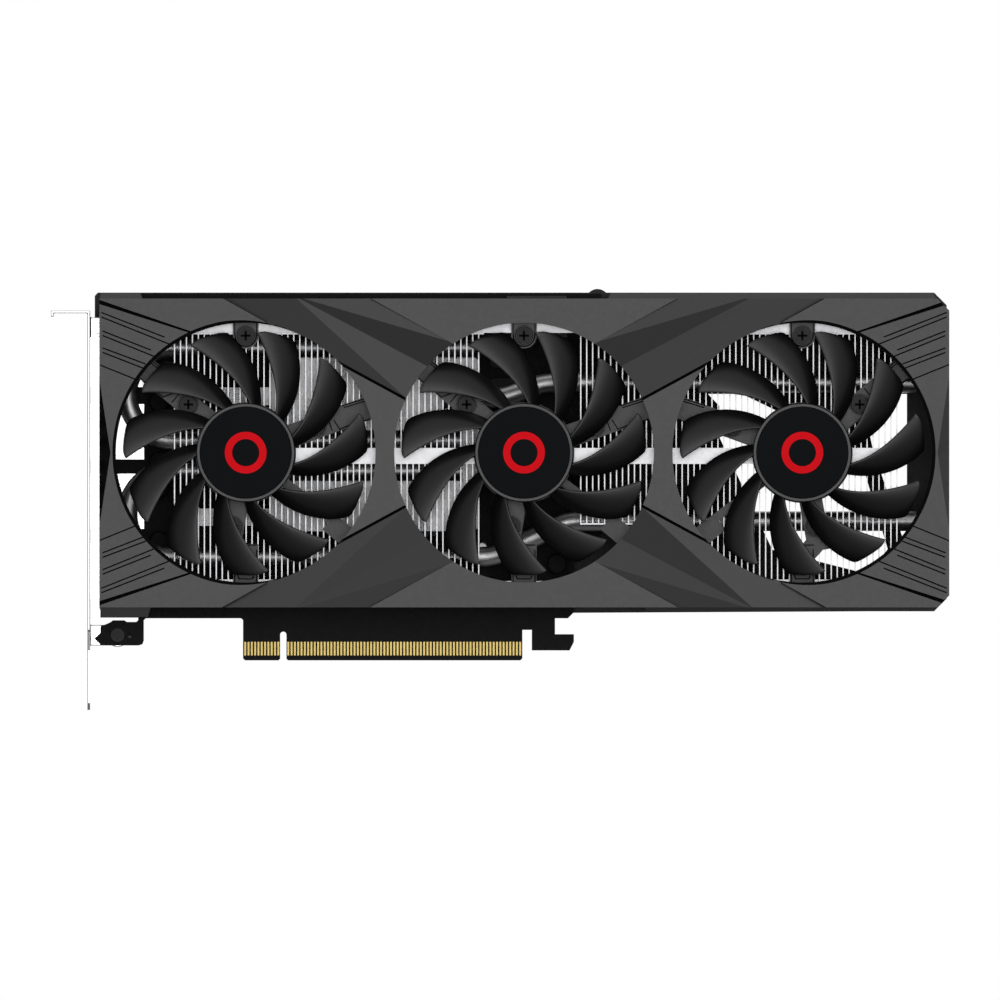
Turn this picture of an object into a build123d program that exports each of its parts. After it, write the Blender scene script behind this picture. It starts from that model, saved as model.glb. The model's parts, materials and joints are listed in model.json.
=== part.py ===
from build123d import *
import math
import os

# A two-slot graphics card with three axial fans, in millimetres.
# Each piece is drawn as seen from the fan side: x runs along the card away from the slot bracket,
# y runs up from the edge connector, and z stands out of the board towards the fans. save() then turns
# the piece upright, so that the card's own frame has +X along it, +Z up and the fans facing -Y.
# The origin is the middle of the edge connector's key, on the connector's bottom edge, in the board's
# middle plane.

# ---- heights above the board's middle plane
BOARD_T = 1.6
BOARD_TOP = BOARD_T / 2
BACKPLATE_LOW = -4.4
BACKPLATE_HIGH = -3.2
CHIP_TOP = BOARD_TOP + 1.5
DIE_TOP = CHIP_TOP + 0.8
PLATE_TOP = DIE_TOP + 3.0
MEMORY_TOP = BOARD_TOP + 1.1
BASE_T = 1.8
PIPE_Z = PLATE_TOP + 3.1
FIN_LOW = PLATE_TOP + 0.4
FIN_HIGH = 23.5
BAR_TOP = FIN_HIGH + 0.5
CARRIER_LOW = 24.2
CARRIER_TOP = 25.6
FAN_BASE_TOP = 27.0
BLADE_LOW = 28.4
BLADE_HIGH = 35.0
HUB_LOW = 28.0
HUB_TOP = 36.0
SHROUD_INNER = 33.4
SHROUD_TOP = 36.4

# ---- fans
FAN_PITCH = 84.0
FAN_Y = 62.7
FAN_X = [-11.35 + FAN_PITCH * number for number in range(3)]
OPENING_R = 39.2
DUCT_T = 1.5
TIP_R = 37.0
HUB_R = 14.9
HUB_WALL = 1.3
CAP_R = 13.85
CAP_T = 0.6
BLADES = 11
BLADE_T = 1.0
SHAFT_R = 1.0
BEARING_R = 2.48
BOSS_R = 3.4
STATOR_R = 10.5
MAGNET_R = 13.3
MAGNET_T = 1.9
FAN_SCREW_R = 22.6
FAN_SCREW_HEAD_R = 2.4
FAN_SCREW_LENGTH = 2.8
TAB_HALF = 3.85
FAN_HOLE_R = 1.02
TAB_SCREW_R = 35.3
RUNNING_GAP = 0.05

# ---- shroud and backplate
CARD_LEFT = -55.5
CARD_RIGHT = 201.0
FRONT_LOW = 16.0
FRONT_HIGH = 109.2
CARD_TOP = 111.0
WALL = 1.8
SKIRT_LEFT_END = -42.6
SKIRT_RIGHT_START = 98.0
SKIRT_BOTTOM_START = 109.0
LIP_TOP = 12.0
EAR_X = 94.8
EAR_Y = 108.5
EAR_R = 3.6
BACKPLATE_SCREWS = ((EAR_X - 3.0, 104.6), (80.5, 20.5), (-36.0, 105.0))
SHROUD_SCREWS = ((112.0, 104.4), (192.0, 104.4), (192.0, 20.6), (118.0, 20.6))
CORNER_CUT = 3.6

# ---- fin stacks and heat pipes
FIN_PITCH = 1.8
FIN_T = 0.35
FIN_BOTTOM = 24.0
FIN_TOP = 98.8
LEFT_STACK = (-33.0, 61.0)
RIGHT_STACK = (89.6, 187.0)
FOLD = 0.4
PIPE_R = 3.0
PIPE_HOLE_R = 3.06

# ---- edge connector
CONTACT_PITCH = 1.0
CONTACT_W = 0.55
CONTACT_T = 0.05
CONTACT_LOW = 1.5
CONTACT_HIGH = 5.6
CONTACTS_BEFORE_KEY = 11
CONTACTS_AFTER_KEY = 71
KEY_HALF = 0.95
KEY_TOP = 7.7
LEFT_END = -12.15
RIGHT_END = 72.15

# ---- slot bracket
BRACKET_X = -59.15
BRACKET_T = 0.86
BRACKET_BACK = -3.4
BRACKET_FRONT = 35.4
BRACKET_TOP = 105.6
BRACKET_FOOT = -15.0
TAB_REACH = 11.0
NOTCH_PITCH = 20.32
PORT_Y = (90.0, 69.0, 48.0, 27.0)
BRACKET_SCREW_HEAD_R = 2.05
EAR_HALF = 3.1
EAR_END_R = 3.6


def block(x, y, z):
    """A box between the low and high value of each pair."""
    size = [pair[1] - pair[0] for pair in (x, y, z)]
    middle = [(pair[0] + pair[1]) / 2 for pair in (x, y, z)]
    return Pos(*middle) * Box(*size)


def rod(x, y, radius, low, high):
    """A round rod standing out of the board, from low to high."""
    return Pos(x, y, (low + high) / 2) * Cylinder(radius, high - low)


def ring(x, y, outer, inner, low, high):
    return rod(x, y, outer, low, high) - rod(x, y, inner, low - 1, high + 1)


def plate(points, low, high):
    """A flat plate with the outline through points, from low to high."""
    outline = make_face(Polyline(*points, close=True))
    return Pos(0, 0, low) * extrude(outline, amount=high - low, dir=(0, 0, 1))


def polar(radius, angle):
    turn = math.radians(angle)
    return radius * math.cos(turn), radius * math.sin(turn)


def save(node, *solids):
    shape = solids[0] if len(solids) == 1 else Compound(list(solids))
    export_step(Rot(90, 0, 0) * shape, f"parts/{node}.step")


def solids_of(shape):
    return list(shape.solids())


def cross(size, width, depth):
    """The cutter for a cross recess: two bars whose middle lies at the origin."""
    return Box(size, width, depth) + Box(width, size, depth)


def screw(x, y, seat, head_r, length):
    """A cross-head screw whose head sits on seat and whose shank goes down from it."""
    head_t = 0.8
    shank_r = head_r * 0.42
    body = rod(x, y, head_r, seat, seat + head_t) + rod(x, y, shank_r, seat - length, seat + 0.1)
    return body - Pos(x, y, seat + head_t) * cross(head_r * 1.2, head_r * 0.28, head_t)


# ---------------------------------------------------------------- board


def board_outline():
    """The board with its lower tab, edge connector, key, slot and retention hook."""
    return [
        (-55.2, 110.7), (-55.2, 12.9), (-43.8, 12.9), (-43.8, 12.1), (-44.4, 11.6), (-47.2, 11.6),
        (-48.0, 12.1), (-51.4, 12.1), (-52.2, 11.5), (-55.2, 10.2), (-55.2, 8.3), (-57.0, 6.6), (-54.9, 4.5),
        (-43.6, 4.5), (-42.5, 4.9), (-42.1, 6.0), (-42.1, 12.1), (-41.5, 12.7), (LEFT_END - 0.6, 12.7),
        (LEFT_END, 12.1), (LEFT_END, 0.6), (LEFT_END + 0.6, 0.0), (-KEY_HALF - 0.5, 0.0), (-KEY_HALF, 0.5),
        (-KEY_HALF, KEY_TOP), (KEY_HALF, KEY_TOP), (KEY_HALF, 0.5), (KEY_HALF + 0.5, 0.0),
        (RIGHT_END - 0.6, 0.0), (RIGHT_END, 0.6), (RIGHT_END, 9.2),
        (75.0, 9.2), (75.0, 3.0), (86.4, 3.0), (87.7, 5.6), (87.7, 7.9), (82.0, 7.9), (82.0, 12.7),
        (85.9, 12.7), (87.7, 14.5), (87.7, 30.0), (96.0, 38.3), (96.0, 110.7),
    ]


BOARD_HOLES = ((-50.0, 7.6, 1.6), (-51.5, 100.4, 1.4), (2.0, 34.0, 1.5), (2.0, 96.0, 1.5), (60.0, 34.0, 1.5),
               (60.0, 96.0, 1.5), (EAR_X - 3.0, 104.6, 1.3), (80.5, 20.5, 1.3), (-36.0, 105.0, 1.3))
COOLER_HOLES = BOARD_HOLES[2:6]


def pcb():
    board = plate(board_outline(), -BOARD_TOP, BOARD_TOP) - rod(0, KEY_TOP, KEY_HALF, -BOARD_T, BOARD_T)
    for x, y, radius in BOARD_HOLES:
        board -= rod(x, y, radius, -2, 2)
    return board


def gold_contacts():
    """Eleven contacts before the key and seventy-one after it, on both faces."""
    first = 1.5 * CONTACT_PITCH
    places = [-first - CONTACT_PITCH * step for step in range(CONTACTS_BEFORE_KEY)]
    places += [first + CONTACT_PITCH * step for step in range(CONTACTS_AFTER_KEY)]
    half = CONTACT_W / 2
    contacts = []
    for x in places:
        for low in (BOARD_TOP, -BOARD_TOP - CONTACT_T):
            contacts.append(block((x - half, x + half), (CONTACT_LOW, CONTACT_HIGH), (low, low + CONTACT_T)))
    return contacts


GPU_X = 30.5
GPU_Y = 65.0
GPU_HALF = 17.5
DIE_HALF_X = 7.0
DIE_HALF_Y = 8.5


def gpu_package():
    """The processor's square package, with cut corners."""
    body = block((GPU_X - GPU_HALF, GPU_X + GPU_HALF), (GPU_Y - GPU_HALF, GPU_Y + GPU_HALF),
                 (BOARD_TOP, CHIP_TOP))
    return chamfer(body.edges().filter_by(Axis.Z), 0.8)


def gpu_die():
    """The bare die on the package, which the cold plate presses on."""
    return block((GPU_X - DIE_HALF_X, GPU_X + DIE_HALF_X), (GPU_Y - DIE_HALF_Y, GPU_Y + DIE_HALF_Y),
                 (CHIP_TOP, DIE_TOP))


MEMORY_PLACES = ((4.5, 53.0), (4.5, 77.0), (24.0, 42.0), (40.5, 42.0))
MEMORY_HALF_X = 6.0
MEMORY_HALF_Y = 5.0
PAD_INSET = 0.5


def on_memory(inset, low, high):
    """A flat block over each memory chip, smaller than the chip by inset all round."""
    half_x = MEMORY_HALF_X - inset
    half_y = MEMORY_HALF_Y - inset
    return [block((x - half_x, x + half_x), (y - half_y, y + half_y), (low, high)) for x, y in MEMORY_PLACES]


def memory_chips():
    return on_memory(0, BOARD_TOP, MEMORY_TOP)


def thermal_pads():
    """Soft pads that fill the gap between each memory chip and the plate above it."""
    return on_memory(PAD_INSET, MEMORY_TOP, DIE_TOP)


CHOKE_PLACES = ((66.0, 50.0), (66.0, 60.5), (66.0, 71.0), (66.0, 81.5), (66.0, 92.0), (-22.0, 55.0),
                (-22.0, 66.0))
CHOKE_HALF = 3.6
CHOKE_T = 4.4
CHOKE_CUT = 0.9
MOSFET_HALF_X = 2.5
MOSFET_HALF_Y = 3.0
MOSFET_T = 0.9
MOSFET_AFTER = 9.4
MOSFET_BEFORE = -7.0


def chokes():
    """Square power inductors with chamfered corners."""
    parts = []
    for x, y in CHOKE_PLACES:
        body = block((x - CHOKE_HALF, x + CHOKE_HALF), (y - CHOKE_HALF, y + CHOKE_HALF),
                     (BOARD_TOP, BOARD_TOP + CHOKE_T))
        parts.append(chamfer(body.edges().filter_by(Axis.Z), CHOKE_CUT))
    return parts


def mosfets():
    """A flat power switch beside each inductor."""
    parts = []
    for x, y in CHOKE_PLACES:
        middle = x + (MOSFET_AFTER if x > 0 else MOSFET_BEFORE)
        parts.append(block((middle - MOSFET_HALF_X, middle + MOSFET_HALF_X),
                           (y - MOSFET_HALF_Y, y + MOSFET_HALF_Y), (BOARD_TOP, BOARD_TOP + MOSFET_T)))
    return parts


TALL_CAN = 7.0
SHORT_CAN = 4.8
CAN_R = 3.0
CAN_FOOT_HALF = 3.2
CAN_FOOT_T = 0.7
CAPACITOR_PLACES = ((82.6, 29.2, TALL_CAN), (72.6, 22.0, TALL_CAN), (84.5, 54.0, TALL_CAN),
                    (84.5, 62.0, TALL_CAN), (84.5, 70.0, TALL_CAN), (84.5, 93.0, TALL_CAN),
                    (-37.5, 36.0, SHORT_CAN), (-37.5, 52.0, SHORT_CAN), (-37.5, 60.0, SHORT_CAN),
                    (-37.5, 78.0, SHORT_CAN))


def capacitors():
    """Round polymer capacitors: a square foot under a can with a turned-in top edge."""
    parts = []
    for x, y, height in CAPACITOR_PLACES:
        foot = block((x - CAN_FOOT_HALF, x + CAN_FOOT_HALF), (y - CAN_FOOT_HALF, y + CAN_FOOT_HALF),
                     (BOARD_TOP, BOARD_TOP + CAN_FOOT_T))
        can = rod(x, y, CAN_R, BOARD_TOP + CAN_FOOT_T, BOARD_TOP + height)
        can = chamfer(can.edges().sort_by(Axis.Z)[-1], 0.4)
        parts.append(foot + can)
    return parts


INLET_X = 76.5
INLET_PITCH = 4.2
INLET_MOUTH = 110.0
INLET_BACK = 97.2
INLET_FLOOR = 99.2
CELL_HALF = 1.85
PIN_HALF = 0.55
PIN_END = 107.6
INLET_LOW = BOARD_TOP + 0.6
INLET_HIGH = INLET_LOW + 9.6


def inlet_cells():
    """The eight cells of the power inlet: four along the board's edge, in two rows."""
    for column in range(4):
        for row in range(2):
            x = INLET_X + INLET_PITCH * (column - 1.5)
            z = (INLET_LOW + INLET_HIGH) / 2 + INLET_PITCH * (row - 0.5)
            yield x, z


def power_inlet():
    """Eight-way power inlet whose mouth faces up, with a latch ramp on its outer side."""
    half = INLET_PITCH * 2 + 0.7
    shell = block((INLET_X - half, INLET_X + half), (INLET_BACK, INLET_MOUTH), (INLET_LOW, INLET_HIGH))
    for x, z in inlet_cells():
        shell -= block((x - CELL_HALF, x + CELL_HALF), (INLET_FLOOR, INLET_MOUTH + 1),
                       (z - CELL_HALF, z + CELL_HALF))
    latch = block((INLET_X - 1.6, INLET_X + 1.6), (104.5, 107.0), (INLET_HIGH, INLET_HIGH + 1.2))
    foot = block((INLET_X - half, INLET_X + half), (INLET_BACK, INLET_BACK + 3.0), (BOARD_TOP, INLET_LOW))
    return shell + latch + foot


def power_pins():
    """One square pin in each of the inlet's cells."""
    return [block((x - PIN_HALF, x + PIN_HALF), (INLET_FLOOR, PIN_END), (z - PIN_HALF, z + PIN_HALF))
            for x, z in inlet_cells()]


HEADER_PLACES = ((62.0, 19.5), (-30.0, 19.5))


def fan_headers():
    """Two small four-pin sockets that the fans' leads plug into."""
    parts = []
    for x, y in HEADER_PLACES:
        shell = block((x - 4.6, x + 4.6), (y - 2.2, y + 2.2), (BOARD_TOP, BOARD_TOP + 5.0))
        shell -= block((x - 3.8, x + 3.8), (y - 1.4, y + 1.4), (BOARD_TOP + 1.2, BOARD_TOP + 6.0))
        for step in range(4):
            pin = x - 2.4 + 1.6 * step
            shell += block((pin - 0.25, pin + 0.25), (y - 0.25, y + 0.25), (BOARD_TOP + 1.0, BOARD_TOP + 4.6))
        parts.append(shell)
    return parts


# ---------------------------------------------------------------- cooler


def cold_plate():
    """Nickel-plated plate that sits on the die and carries the heat pipes."""
    body = block((2.6, 59.0), (39.0, 91.6), (DIE_TOP, PLATE_TOP))
    return chamfer(body.edges().filter_by(Axis.Z), 1.2)


def cooler_base():
    """Aluminium plate beside the cold plate, with two fingers out to the left."""
    body = plate(
        [(-33.0, 40.6), (2.5, 40.6), (2.5, 90.0), (-4.0, 90.0), (-4.0, 82.4), (-20.0, 82.4), (-20.0, 77.0),
         (-4.0, 77.0), (-4.0, 45.8), (-33.0, 45.8)],
        DIE_TOP, DIE_TOP + BASE_T)
    return body


def pipe_routes():
    """Each heat pipe's route over the board, as points, with the radius of each bend."""
    upper_turn = 14.0
    lower_turn = 13.0
    sideways_turn = 15.0
    shallow_turn = 20.0
    return (
        ([(58.0, 94.4), (-47.0, 94.4), (-47.0, 66.4), (54.0, 66.4)], [upper_turn, upper_turn]),
        ([(54.0, 57.2), (-47.0, 57.2), (-47.0, 31.2), (63.0, 31.2), (86.0, 42.0), (191.0, 42.0)],
         [lower_turn, lower_turn, sideways_turn, sideways_turn]),
        ([(48.0, 79.0), (66.0, 79.0), (79.0, 83.8), (191.0, 83.8)], [shallow_turn, shallow_turn]),
    )


def pipe(route, radii, section):
    points = [(x, y, PIPE_Z) for x, y in route]
    path = FilletPolyline(*points, radius=[radius * 0.99 for radius in radii])
    start = Plane(origin=points[0], z_dir=path % 0)
    return sweep(start * Circle(section), path=path)


def heat_pipe(number):
    """A round pipe swept along its route."""
    route, radii = pipe_routes()[number]
    return pipe(route, radii, PIPE_R)


def fin(x, low, high, bottom, top):
    """One fin: a sheet with its long edges folded over towards the next fin."""
    sheet = block((x, x + FIN_T), (bottom, top), (low, high))
    reach = FIN_PITCH - 0.05
    sheet += block((x, x + reach), (top - FOLD, top), (low, high))
    sheet += block((x, x + reach), (bottom, bottom + FOLD), (low, high))
    return sheet


def fin_stack(span, low, notch=None):
    """Separate fins with clearance for the heat pipes, and a corner left out where notch says."""
    count = int((span[1] - span[0]) / FIN_PITCH)
    cutters = [pipe(route, radii, PIPE_HOLE_R) for route, radii in pipe_routes()]
    fins = []
    for step in range(count):
        x = span[0] + FIN_PITCH * step
        bottom = notch[1] if notch and x < notch[0] else FIN_BOTTOM
        sheet = fin(x, low, FIN_HIGH, bottom, FIN_TOP)
        for cutter in cutters:
            sheet -= cutter
        fins += solids_of(sheet)
    return fins


def cooler_bar():
    """Flat bar across both stacks, which ties their fins together."""
    return block((-8.0, 184.0), (59.3, 64.1), (FIN_HIGH, BAR_TOP))


RAIL_W = 4.6
RAIL_T = 3.6
RAIL_GAP = 0.05


def cooler_rails():
    """Two square rails that the fins' folded edges rest against, along the cooler's top and bottom."""
    low = FIN_HIGH - RAIL_T
    span = (LEFT_STACK[0], RIGHT_STACK[1])
    upper = block(span, (FIN_TOP + RAIL_GAP, FIN_TOP + RAIL_GAP + RAIL_W), (low, FIN_HIGH))
    lower = block(span, (FIN_BOTTOM - RAIL_GAP - RAIL_W, FIN_BOTTOM - RAIL_GAP), (low, FIN_HIGH))
    return [upper, lower]


def cooler_screws():
    """Four screws with springs' collars, from behind the board into the cold plate."""
    parts = []
    for x, y, _ in COOLER_HOLES:
        head = rod(x, y, 3.0, -BOARD_TOP - 2.0, -BOARD_TOP)
        shank = rod(x, y, 1.2, -BOARD_TOP, BOARD_TOP + 1.4)
        parts.append(head + shank - Pos(x, y, -BOARD_TOP - 2.0) * cross(3.8, 0.8, 1.0))
    return parts


# ---------------------------------------------------------------- fans


def blade_section(radius, lead, trail, lead_z, trail_z):
    """A cambered cut through a blade at radius, between its leading and trailing angles."""
    half = math.radians(lead - trail) / 2
    middle = (lead + trail) / 2
    reach = radius * math.sin(half)
    x, y = polar(radius * math.cos(half), middle)
    out_x, out_y = polar(1.0, middle)
    plane = Plane(origin=(x, y, 0), x_dir=(-out_y, out_x, 0), z_dir=(out_x, out_y, 0))
    rise = (lead_z - trail_z) / 2
    centre_z = (lead_z + trail_z) / 2 + 0.7
    slope = math.hypot(reach, rise)
    shift_x = -rise / slope * BLADE_T / 2
    shift_z = reach / slope * BLADE_T / 2
    upper = [(reach, lead_z), (0, centre_z), (-reach, trail_z)]
    points = [(along + shift_x, height + shift_z) for along, height in upper]
    points += [(along - shift_x, height - shift_z) for along, height in reversed(upper)]
    return plane * make_face(Polyline(*points, close=True))


def blade():
    """One backward-leaning blade: radius, leading and trailing angle, and both edges' heights."""
    cuts = (
        (13.9, 82.0, 70.0, 34.2, 28.9),
        (20.0, 95.8, 76.2, 34.4, 28.9),
        (27.0, 106.4, 83.8, 34.4, 28.9),
        (32.0, 113.4, 91.2, 34.2, 29.0),
        (37.6, 118.6, 99.0, 34.0, 29.2),
    )
    body = loft([blade_section(*cut) for cut in cuts])
    return body & rod(0, 0, TIP_R, BLADE_LOW - 2, BLADE_HIGH + 2)


def rotor():
    """Hub cup with its blades: open behind for the motor, recessed in front for the cap."""
    cup = rod(0, 0, HUB_R, HUB_LOW, HUB_TOP)
    cup -= rod(0, 0, HUB_R - HUB_WALL, HUB_LOW - 1, HUB_TOP - 1.8)
    cup -= rod(0, 0, CAP_R + 0.05, HUB_TOP - CAP_T, HUB_TOP + 1)
    cup += rod(0, 0, 2.6, HUB_TOP - 2.6, HUB_TOP - 1.7)
    cup -= rod(0, 0, SHAFT_R, HUB_LOW, HUB_TOP - 1.2)
    one = blade()
    for step in range(BLADES):
        cup += Rot(0, 0, 360 / BLADES * step) * one
    return cup


def hub_cap():
    cap = rod(0, 0, CAP_R, HUB_TOP - CAP_T, HUB_TOP)
    return chamfer(cap.edges().sort_by(Axis.Z)[-1], 0.15)


def shaft():
    return rod(0, 0, SHAFT_R, FAN_BASE_TOP + 0.2, HUB_TOP - 1.2)


def magnet():
    return ring(0, 0, MAGNET_R, MAGNET_R - MAGNET_T, HUB_LOW + 0.4, HUB_LOW + 5.4)


def bearing():
    """Bronze sleeve that the shaft runs in."""
    return ring(0, 0, BEARING_R, SHAFT_R + RUNNING_GAP, FAN_BASE_TOP + 0.2, HUB_TOP - 3.0)


def stator():
    """Laminated core with four poles, and a coil round each pole's neck."""
    low = FAN_BASE_TOP + 1.8
    high = low + 3.4
    core = rod(0, 0, 5.4, low, high)
    for turn in range(4):
        neck = block((4.0, 9.2), (-1.2, 1.2), (low, high))
        shoe = ring(0, 0, STATOR_R, 9.0, low, high) & block((0, 12), (-5.2, 5.2), (low, high))
        core += Rot(0, 0, 90 * turn) * (neck + shoe)
    core -= rod(0, 0, BOSS_R + 0.02, low - 1, high + 1)
    coils = []
    for turn in range(4):
        coil = block((5.9, 8.6), (-2.3, 2.3), (low - 0.8, high + 0.8))
        coil -= block((5.0, 9.5), (-1.22, 1.22), (low - 0.02, high + 0.02))
        coils.append(Rot(0, 0, 90 * turn) * coil)
    return [core] + coils


FAN_ARMS = (20, 140, 260)


def fan_base():
    """Motor base: a disc with a bearing boss and three ears screwed to the carrier."""
    base = rod(0, 0, 14.4, CARRIER_TOP, FAN_BASE_TOP)
    for angle in FAN_ARMS:
        ear = block((10.0, FAN_SCREW_R), (-3.2, 3.2), (CARRIER_TOP, FAN_BASE_TOP))
        ear += rod(FAN_SCREW_R, 0, 3.2, CARRIER_TOP, FAN_BASE_TOP)
        ear -= rod(FAN_SCREW_R, 0, 1.1, CARRIER_TOP - 1, FAN_BASE_TOP + 1)
        base += Rot(0, 0, angle) * ear
    base += rod(0, 0, BOSS_R, CARRIER_TOP, HUB_TOP - 3.2)
    base -= rod(0, 0, BEARING_R + 0.02, FAN_BASE_TOP, HUB_TOP)
    return base


def carrier():
    """Spider that holds the motor base: a ring, three arms to the duct and an arm for the lead."""
    body = ring(0, 0, 15.2, 9.0, CARRIER_LOW, CARRIER_TOP)
    for angle in (20, 140):
        body += Rot(0, 0, angle) * block((13.0, 40.5), (-3.5, 3.5), (CARRIER_LOW, CARRIER_TOP))
    inner = Rot(0, 0, 260) * block((13.0, 30.0), (-3.5, 3.5), (CARRIER_LOW, CARRIER_TOP))
    lug = block((-3.8, 3.8), (-40.5, -27.6), (CARRIER_LOW, CARRIER_TOP))
    elbow = plate([(-8.4, -27.0), (-3.8, -32.0), (3.8, -32.0), (-1.4, -26.0)], CARRIER_LOW, CARRIER_TOP)
    strut = Rot(0, 0, -37) * block((14.0, 40.5), (-1.3, 1.3), (CARRIER_LOW, CARRIER_TOP))
    pad = Rot(0, 0, -40) * block((32.6, 40.5), (-2.9, 2.9), (CARRIER_LOW, CARRIER_TOP))
    body += inner + lug + elbow + strut + pad
    for angle in FAN_ARMS:
        x, y = polar(FAN_SCREW_R, angle)
        body -= rod(x, y, FAN_HOLE_R, CARRIER_LOW - 1, CARRIER_TOP + 1)
    return body


def fan_place(number):
    return Pos(FAN_X[number], FAN_Y, 0)


def handed(number, shape):
    """The third fan's base and carrier are the mirror image of the first two."""
    return mirror(shape, about=Plane.YZ) if number == 2 else shape


def fan_screws():
    """Three screws in each motor base, and one in each of the shroud's tabs."""
    parts = []
    for number in range(3):
        for angle in FAN_ARMS:
            x, y = polar(FAN_SCREW_R, 180 - angle if number == 2 else angle)
            parts.append(fan_place(number) * screw(x, y, FAN_BASE_TOP, FAN_SCREW_HEAD_R, FAN_SCREW_LENGTH))
        parts.append(fan_place(number) * screw(0, TAB_SCREW_R, FAN_BASE_TOP, FAN_SCREW_HEAD_R,
                                               FAN_SCREW_LENGTH))
    return parts


# ---------------------------------------------------------------- covers


def shroud_outline(inset=0.0):
    """The cover's outline: square at the bracket's end, with cut corners at the far end."""
    left = CARD_LEFT + inset
    right = CARD_RIGHT - inset
    low = FRONT_LOW + inset
    high = FRONT_HIGH - inset
    return [(left, low), (right - CORNER_CUT, low), (right, low + CORNER_CUT), (right, high - CORNER_CUT),
            (right - CORNER_CUT, high), (left, high)]


# The cover's front facets and grooves: points from the middle fan's axis, for one quarter of the front.
MIDDLE_X = FAN_X[1]
CREASES = {
    "far_top": (-93.6, 48.0, 34.3), "root": (-69.6, 47.4, 36.3), "near_top": (-47.8, 47.4, 35.2),
    "meeting": (-22.7, 33.6, 36.3), "rim_top": (-19.0, 31.6, 36.3), "rim_low": (-27.0, 24.9, 34.2),
    "waist": (-33.9, 14.9, 36.3),
}
FACETS = (("far_top", "root", "waist"), ("root", "waist", "rim_low"), ("root", "rim_low", "meeting"),
          ("rim_low", "rim_top", "meeting"), ("root", "meeting", "near_top"))
END_CREASES = {"top": (-129.5, 23.5, 36.35), "point": (-124.8, 0.0, 36.35), "low": (-129.5, -23.5, 36.35),
               "edge": (-129.5, 0.0, 34.2)}
END_FACETS = (("top", "edge", "point"), ("edge", "low", "point"))
GROOVES = (
    ((-59.5, 29.1), (-34.3, 15.4), 0.9), ((-128.6, 45.6), (-99.0, 35.8), 1.2),
    ((-127.6, 42.3), (-108.5, 34.8), 0.5), ((-127.6, 41.0), (-106.7, 32.6), 0.5),
    ((-127.2, 36.7), (-112.6, 30.9), 0.5), ((-127.2, 35.4), (-110.8, 28.7), 0.5),
    ((-127.2, 31.6), (-114.2, 26.7), 0.5), ((-127.2, 30.3), (-112.4, 24.5), 0.5),
    ((-128.6, 26.7), (-116.0, 21.6), 0.5),
)
GROOVE_FLOOR = SHROUD_TOP - 0.9


def facet_cutters():
    """What the cover's facets leave out: a prism above each, in all four quarters of the front."""
    cutters = []
    for across in (1, -1):
        for over in (1, -1):
            cutters += prisms_over(CREASES, FACETS, across, over)
        cutters += prisms_over(END_CREASES, END_FACETS, across, 1)
    return cutters


def prisms_over(corners, facets, across, over):
    """Upright prisms on the facets, whose corners are given from the middle fan's axis."""
    places = {name: (MIDDLE_X + u * across, FAN_Y + v * over, z) for name, (u, v, z) in corners.items()}
    faces = [make_face(Polyline(*[places[name] for name in facet], close=True)) for facet in facets]
    return [extrude(face, amount=6.0, dir=(0, 0, 1)) for face in faces]


def groove_cutters():
    """Straight grooves beside the waist and in a fan at each corner of the front."""
    cutters = []
    for across in (1, -1):
        for over in (1, -1):
            for start, end, width in GROOVES:
                ends = [(MIDDLE_X + u * across, FAN_Y + v * over) for u, v in (start, end)]
                run = Vector(ends[1][0] - ends[0][0], ends[1][1] - ends[0][1], 0)
                side = Vector(-run.Y, run.X, 0).normalized() * (width / 2)
                outline = [(x + side.X * turn, y + side.Y * turn)
                           for (x, y), turn in ((ends[0], 1), (ends[1], 1), (ends[1], -1), (ends[0], -1))]
                cutters.append(plate(outline, GROOVE_FLOOR, SHROUD_TOP + 1))
    return cutters


def shroud():
    """The cover: a faceted front, fan ducts, walls round the edge and deep skirts near both ends."""
    body = plate(shroud_outline(), SHROUD_INNER - 9.0, SHROUD_TOP)
    body -= facet_cutters() + groove_cutters()
    body -= plate(shroud_outline(WALL), SHROUD_INNER - 10.0, SHROUD_INNER)
    skirt = plate(shroud_outline(), BACKPLATE_HIGH, 26.0) - plate(shroud_outline(WALL), BACKPLATE_HIGH - 1, 27.0)
    near = block((CARD_LEFT + WALL, SKIRT_LEFT_END), (0, 120), (BOARD_TOP, 30))
    far = plate([(SKIRT_RIGHT_START, 120), (SKIRT_BOTTOM_START, 0), (210, 0), (210, 120)], BACKPLATE_HIGH, 30)
    body += skirt & (near + far)
    lip = CARD_TOP - 0.1
    far_end = CARD_RIGHT - 5.0
    body += block((CARD_LEFT + WALL, SKIRT_LEFT_END), (FRONT_HIGH - 0.1, lip), (BOARD_TOP, LIP_TOP))
    body += block((SKIRT_RIGHT_START, far_end), (FRONT_HIGH - 0.1, lip), (BACKPLATE_HIGH, LIP_TOP))
    body += block((CARD_LEFT + WALL, -40.0), (13.1, FRONT_LOW + 0.1), (BOARD_TOP, LIP_TOP))
    body += block((SKIRT_BOTTOM_START, far_end), (14.8, FRONT_LOW + 0.1), (BACKPLATE_HIGH, LIP_TOP))
    for x, y in SHROUD_SCREWS:
        body += rod(x, y, 3.2, BACKPLATE_HIGH, LIP_TOP) - rod(x, y, 1.22, BACKPLATE_HIGH - 1, 6.0)
    for number in range(3):
        x = FAN_X[number]
        body += rod(x, FAN_Y, OPENING_R + DUCT_T, CARRIER_TOP, SHROUD_INNER + 0.1)
        body -= rod(x, FAN_Y, OPENING_R, CARRIER_TOP - 5, SHROUD_TOP + 1)
        top = FAN_Y + TAB_SCREW_R
        tab = block((x - TAB_HALF, x + TAB_HALF), (top, FAN_Y + OPENING_R + 0.7), (CARRIER_TOP, FAN_BASE_TOP))
        tab += rod(x, top, TAB_HALF, CARRIER_TOP, FAN_BASE_TOP)
        body += tab - rod(x, top, FAN_HOLE_R, CARRIER_TOP - 1, FAN_BASE_TOP + 1)
    return body


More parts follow.
